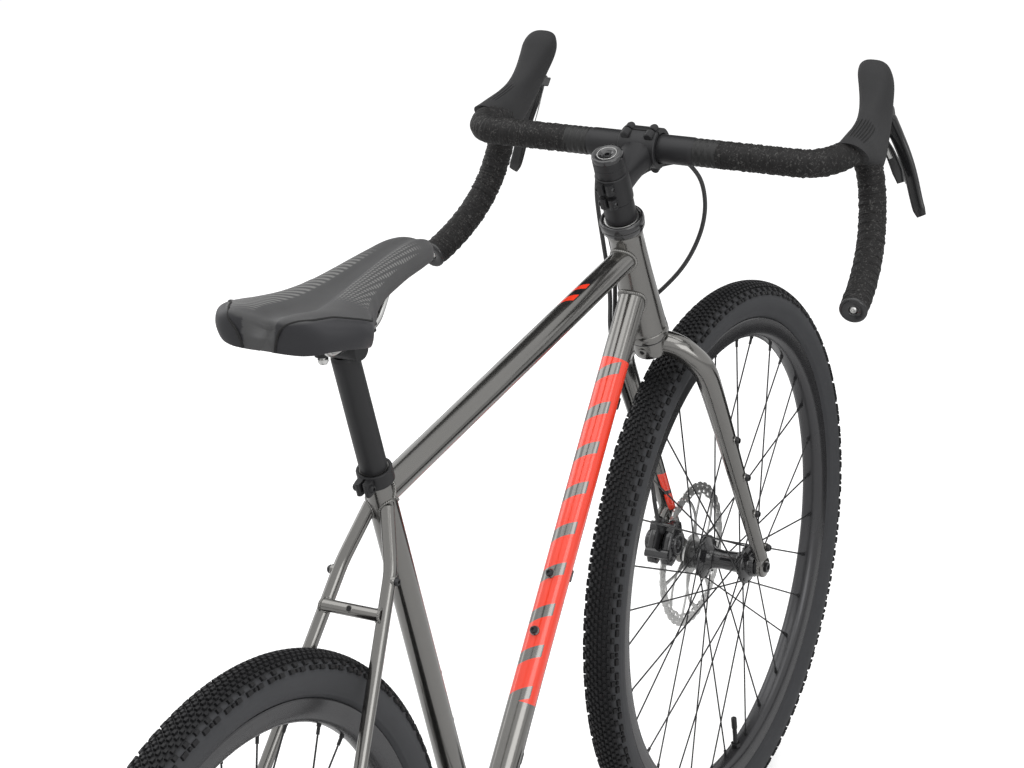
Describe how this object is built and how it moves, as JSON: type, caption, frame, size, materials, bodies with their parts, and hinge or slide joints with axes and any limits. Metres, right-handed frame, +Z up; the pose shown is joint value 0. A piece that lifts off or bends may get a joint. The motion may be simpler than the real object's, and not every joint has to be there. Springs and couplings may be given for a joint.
{
  "type": "gravel bike",
  "caption": "Rigid gravel bike with a welded frame, drop handlebar, knobbly tyres, disc brakes and a single-ring drive, with turning steering, wheels, cranks and levers.",
  "frame": {"origin": "on the ground, midway between the two axles, in the frame's middle plane", "axes": "+X forward, +Y to the rider's left, +Z up"},
  "size_m": [1.7347, 0.5388, 0.9924],
  "materials": {
    "frame_paint": "glossy metallic grey paint",
    "black_metal": "black anodised",
    "black_steel": "blackened",
    "bright_steel": "bare",
    "black_plastic": "satin",
    "black_rubber": "soft matte",
    "tyre_rubber": "matte with knobs",
    "saddle_cover": "matte synthetic cover"
  },
  "bodies": {
    "frame": {"head_tube": "frame_paint", "top_tube": "frame_paint", "down_tube": "frame_paint", "seat_tube": "frame_paint", "bb_shell": "frame_paint", "chainstays": "frame_paint", "seatstays": "frame_paint", "rear_dropouts": "frame_paint", "frame_fittings": "black_steel", "headset": "black_metal", "seat_collar": "black_metal", "bottom_bracket": "black_metal", "rear_caliper": "black_metal", "rear_brake_hose": "black_plastic", "shift_housing": "black_plastic", "rear_axle": "black_metal", "derailleur": "black_metal", "chain": "bright_steel"},
    "seat": {"seatpost": "black_metal", "saddle_clamp": "black_metal", "saddle_rails": "bright_steel", "saddle_shell": "black_plastic", "saddle_pad": "saddle_cover"},
    "steering": {"fork_steerer": "frame_paint", "fork_blades": "frame_paint", "steering_bolts": "black_steel", "headset_spacers": "black_metal", "stem": "black_metal", "stem_faceplate": "black_metal", "top_cap": "black_metal", "handlebar": "black_metal", "bar_tape_left": "black_rubber", "bar_tape_right": "black_rubber", "bar_end_plugs": "black_plastic", "hood_left": "black_rubber", "hood_right": "black_rubber", "front_caliper": "black_metal", "front_brake_hose": "black_plastic", "front_axle": "black_metal"},
    "left_lever": {"brake_lever_left": "black_metal"},
    "right_lever": {"brake_lever_right": "black_metal"},
    "paddle": {"shift_paddle": "black_plastic"},
    "front_wheel": {"front_tyre": "tyre_rubber", "front_rim": "black_metal", "front_spokes": "black_steel", "front_hub": "black_metal", "front_rotor": "bright_steel"},
    "rear_wheel": {"rear_tyre": "tyre_rubber", "rear_rim": "black_metal", "rear_spokes": "black_steel", "rear_hub": "black_metal", "rear_rotor": "bright_steel"},
    "sprockets": {"cassette": "bright_steel"},
    "cranks": {"crank_right": "black_metal", "crank_left": "black_metal", "chainring": "black_metal"},
    "left_pedal": {"pedal_left": "black_metal"},
    "right_pedal": {"pedal_right": "black_metal"},
    "guide_wheel": {"guide_pulley": "black_plastic"},
    "tension_wheel": {"tension_pulley": "black_plastic"}
  },
  "joints": [
    {"name": "steering_turn", "type": "hinge", "parent": "frame", "child": "steering", "pos_m": [0.31746, 0, 0.77831], "axis": [-0.3322, 0, 0.9432], "range_deg": [-60, 60], "deforming": ["rear_brake_hose", "shift_housing"]},
    {"name": "seatpost_slide", "type": "slide", "parent": "frame", "child": "seat", "axis": [-0.2672, 0, 0.9636], "range_m": [-0.085, 0.03]},
    {"name": "front_wheel_spin", "type": "hinge", "parent": "steering", "child": "front_wheel", "pos_m": [0.525, 0, 0.3425], "axis": [0, 1, 0], "continuous": true},
    {"name": "rear_wheel_spin", "type": "hinge", "parent": "frame", "child": "rear_wheel", "pos_m": [-0.525, 0, 0.3425], "axis": [0, 1, 0], "continuous": true},
    {"name": "crank_spin", "type": "hinge", "parent": "frame", "child": "cranks", "pos_m": [-0.10159, 0, 0.2675], "axis": [0, 1, 0], "continuous": true, "deforming": ["chain"]},
    {"name": "cassette_spin", "type": "hinge", "parent": "frame", "child": "sprockets", "pos_m": [-0.525, 0, 0.3425], "axis": [0, 1, 0], "continuous": true},
    {"name": "guide_pulley_spin", "type": "hinge", "parent": "frame", "child": "guide_wheel", "pos_m": [-0.513, -0.04475, 0.2605], "axis": [0, 1, 0], "continuous": true},
    {"name": "tension_pulley_spin", "type": "hinge", "parent": "frame", "child": "tension_wheel", "pos_m": [-0.50952, -0.04475, 0.17057], "axis": [0, 1, 0], "continuous": true},
    {"name": "left_pedal_spin", "type": "hinge", "parent": "cranks", "child": "left_pedal", "pos_m": [-0.27409, 0.121, 0.2675], "axis": [0, 1, 0], "continuous": true},
    {"name": "right_pedal_spin", "type": "hinge", "parent": "cranks", "child": "right_pedal", "pos_m": [0.07091, -0.121, 0.2675], "axis": [0, 1, 0], "continuous": true},
    {"name": "left_lever_pull", "type": "hinge", "parent": "steering", "child": "left_lever", "pos_m": [0.51595, 0.215, 0.93046], "axis": [0, 0.9613, 0.2756], "range_deg": [0, 20], "stiffness_Nm_per_rad": 0.8, "springref_deg": -8.59},
    {"name": "right_lever_pull", "type": "hinge", "parent": "steering", "child": "right_lever", "pos_m": [0.51595, -0.215, 0.93046], "axis": [0, 0.9613, -0.2756], "range_deg": [0, 20], "stiffness_Nm_per_rad": 0.8, "springref_deg": -8.59},
    {"name": "shift_paddle_push", "type": "hinge", "parent": "right_lever", "child": "paddle", "pos_m": [0.51095, -0.217, 0.90046], "axis": [1, 0, 0], "range_deg": [0, 20], "stiffness_Nm_per_rad": 0.1, "springref_deg": -11.46}
  ],
  "couplings": [
    {"joint": "cassette_spin", "follows": "crank_spin", "ratio": 1.8095},
    {"joint": "guide_pulley_spin", "follows": "crank_spin", "ratio": -3.4545},
    {"joint": "tension_pulley_spin", "follows": "crank_spin", "ratio": 3.4545}
  ]
}
